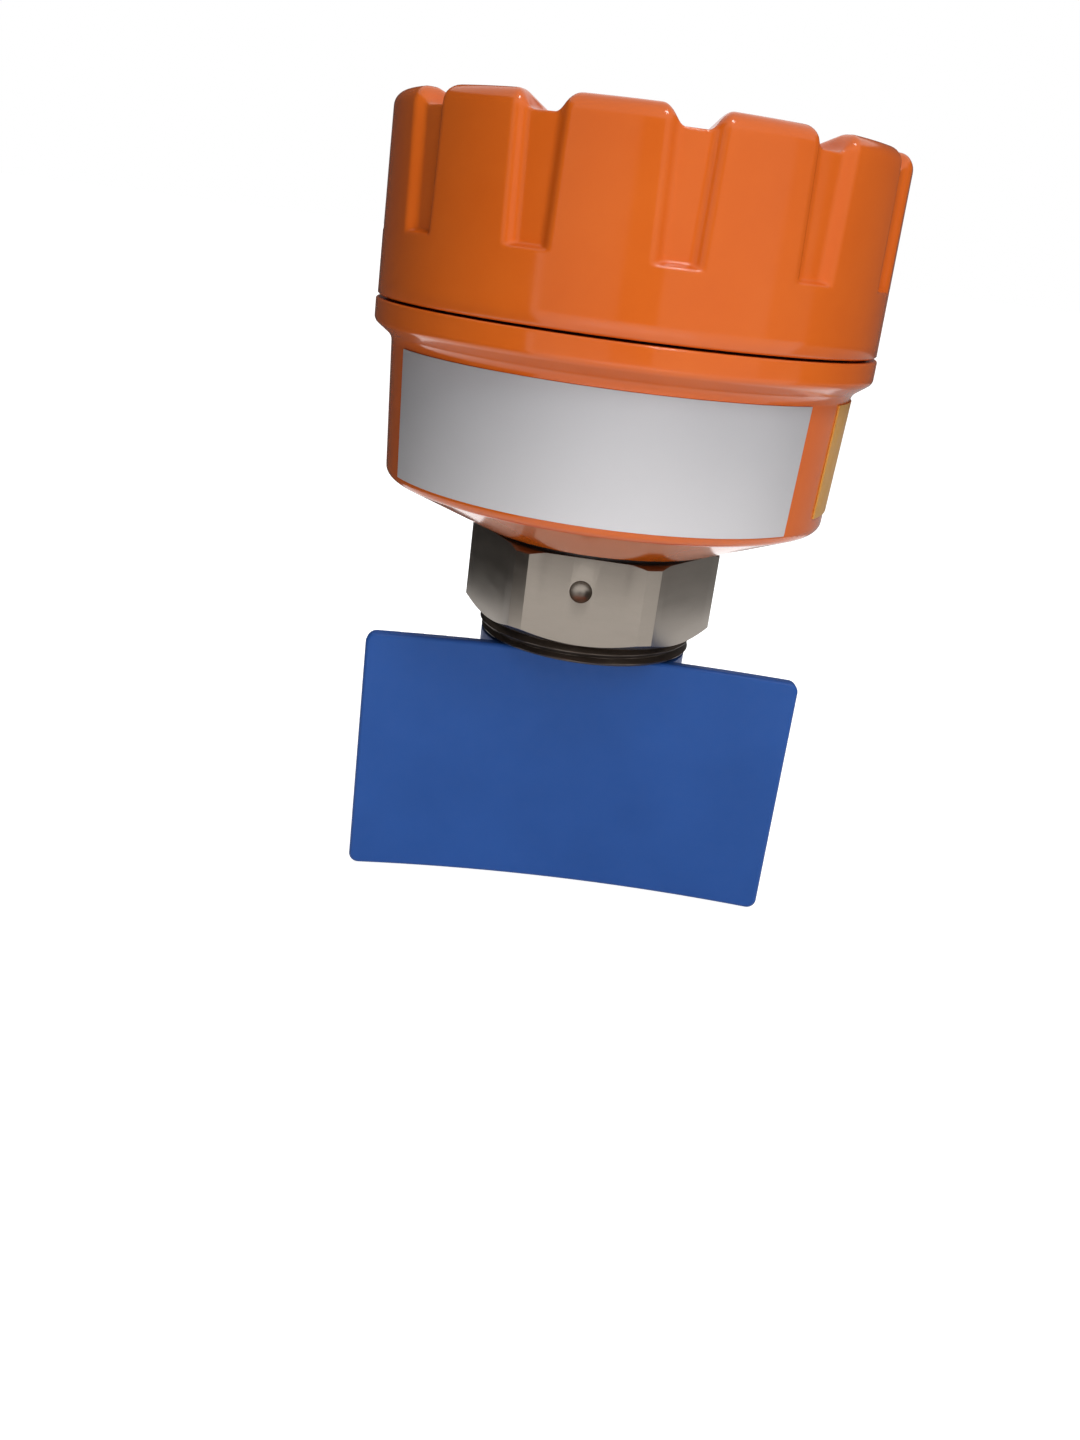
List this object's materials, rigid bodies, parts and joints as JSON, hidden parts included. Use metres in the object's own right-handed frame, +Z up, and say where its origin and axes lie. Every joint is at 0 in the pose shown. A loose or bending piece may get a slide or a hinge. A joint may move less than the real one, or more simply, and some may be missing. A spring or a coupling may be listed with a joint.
{
  "type": "rotary paddle bin level switch",
  "caption": "Bin level switch: round cast housing with a slotted screw cover, hex and pipe thread below, and a flat turning vane that stalls when material reaches it.",
  "frame": {"origin": "centre of the hex's lower shoulder, on the axis of the process thread", "axes": "+Z up along the thread axis towards the cover, -Y out of the nameplate at the front"},
  "size_m": [0.1058, 0.1109, 0.164],
  "materials": {
    "housing_paint": "glossy orange powder coat",
    "black_rubber": "matt black rubber",
    "label_foil": "satin silver foil",
    "yellow_label": "yellow film",
    "stainless": "turned and milled stainless steel",
    "bearing_steel": "ground steel",
    "vane_plastic": "smooth blue plastic",
    "zinc_plate": "zinc-plated steel",
    "bronze": "sintered bronze",
    "gear_case_zinc": "die-cast, bare",
    "motor_steel": "drawn steel can",
    "switch_plastic": "black phenolic",
    "button_plastic": "red plastic",
    "spring_steel": "spring wire",
    "block_plastic": "black thermoplastic",
    "brass": "bright brass"
  },
  "bodies": {
    "housing": {"housing_body": "housing_paint", "conduit_hub": "housing_paint", "nameplate": "label_foil", "side_label": "yellow_label", "process_bushing": "stainless", "bushing_gasket": "black_rubber", "lower_bearing": "bearing_steel", "upper_bearing": "bearing_steel", "shaft_seal": "black_rubber", "seal_circlip": "spring_steel", "bearing_circlip": "spring_steel", "chassis_plate": "zinc_plate", "chassis_screws": "zinc_plate", "pivot_bush": "bronze", "stop_pin": "bearing_steel", "spring_anchor": "bearing_steel", "return_spring": "spring_steel", "switch_spacers": "brass", "switch_screws": "zinc_plate", "terminal_block": "block_plastic", "terminal_screws": "brass", "block_screws": "zinc_plate", "ground_screw": "brass", "lower_switch_case": "switch_plastic", "lower_switch_blades": "brass", "upper_switch_case": "switch_plastic", "upper_switch_blades": "brass"},
    "seal": {"cover_seal": "black_rubber"},
    "cover": {"cover": "housing_paint"},
    "rotor": {"drive_shaft": "stainless", "drive_coupling": "brass", "coupling_set_screws": "zinc_plate", "output_shaft": "bearing_steel", "vane": "vane_plastic", "vane_pin": "stainless"},
    "motor": {"swing_plate": "zinc_plate", "swing_circlip": "spring_steel", "gear_case": "gear_case_zinc", "motor_can": "motor_steel", "motor_screws": "zinc_plate", "trip_pin": "bearing_steel", "spring_pin": "bearing_steel"},
    "lower_lever": {"lower_switch_lever": "spring_steel"},
    "upper_lever": {"upper_switch_lever": "spring_steel"},
    "lower_button": {"lower_switch_button": "button_plastic"},
    "upper_button": {"upper_switch_button": "button_plastic"}
  },
  "joints": [
    {"name": "cover_lift", "type": "slide", "parent": "housing", "child": "seal", "axis": [0, 0, 1], "range_m": [0, 0.06]},
    {"name": "cover_turn", "type": "hinge", "parent": "seal", "child": "cover", "pos_m": [0, 0, 0.0644], "axis": [0, 0, 1], "continuous": true},
    {"name": "vane_spin", "type": "hinge", "parent": "housing", "child": "rotor", "pos_m": [0, 0, 0], "axis": [0, 0, 1], "continuous": true},
    {"name": "motor_swing", "type": "hinge", "parent": "housing", "child": "motor", "pos_m": [0, 0, 0.048], "axis": [0, 0, 1], "range_deg": [0, 7.5], "stiffness_Nm_per_rad": 0.5, "springref_deg": -11.46, "deforming": ["return_spring"]},
    {"name": "lower_lever_swing", "type": "hinge", "parent": "housing", "child": "lower_lever", "pos_m": [0.0155, 0.0051, 0.0568], "axis": [0, 0, 1], "range_deg": [0, 17]},
    {"name": "lower_button_press", "type": "slide", "parent": "housing", "child": "lower_button", "axis": [0, 1, 0], "range_m": [0, 0.0014]},
    {"name": "upper_lever_swing", "type": "hinge", "parent": "housing", "child": "upper_lever", "pos_m": [0.0155, 0.0051, 0.0632], "axis": [0, 0, 1], "range_deg": [0, 17]},
    {"name": "upper_button_press", "type": "slide", "parent": "housing", "child": "upper_button", "axis": [0, 1, 0], "range_m": [0, 0.0014]}
  ],
  "couplings": [
    {"joint": "lower_lever_swing", "follows": "motor_swing", "ratio": 2.152},
    {"joint": "lower_button_press", "follows": "motor_swing", "m_per_rad": 0.010193},
    {"joint": "upper_lever_swing", "follows": "motor_swing", "ratio": 2.152},
    {"joint": "upper_button_press", "follows": "motor_swing", "m_per_rad": 0.010193}
  ]
}
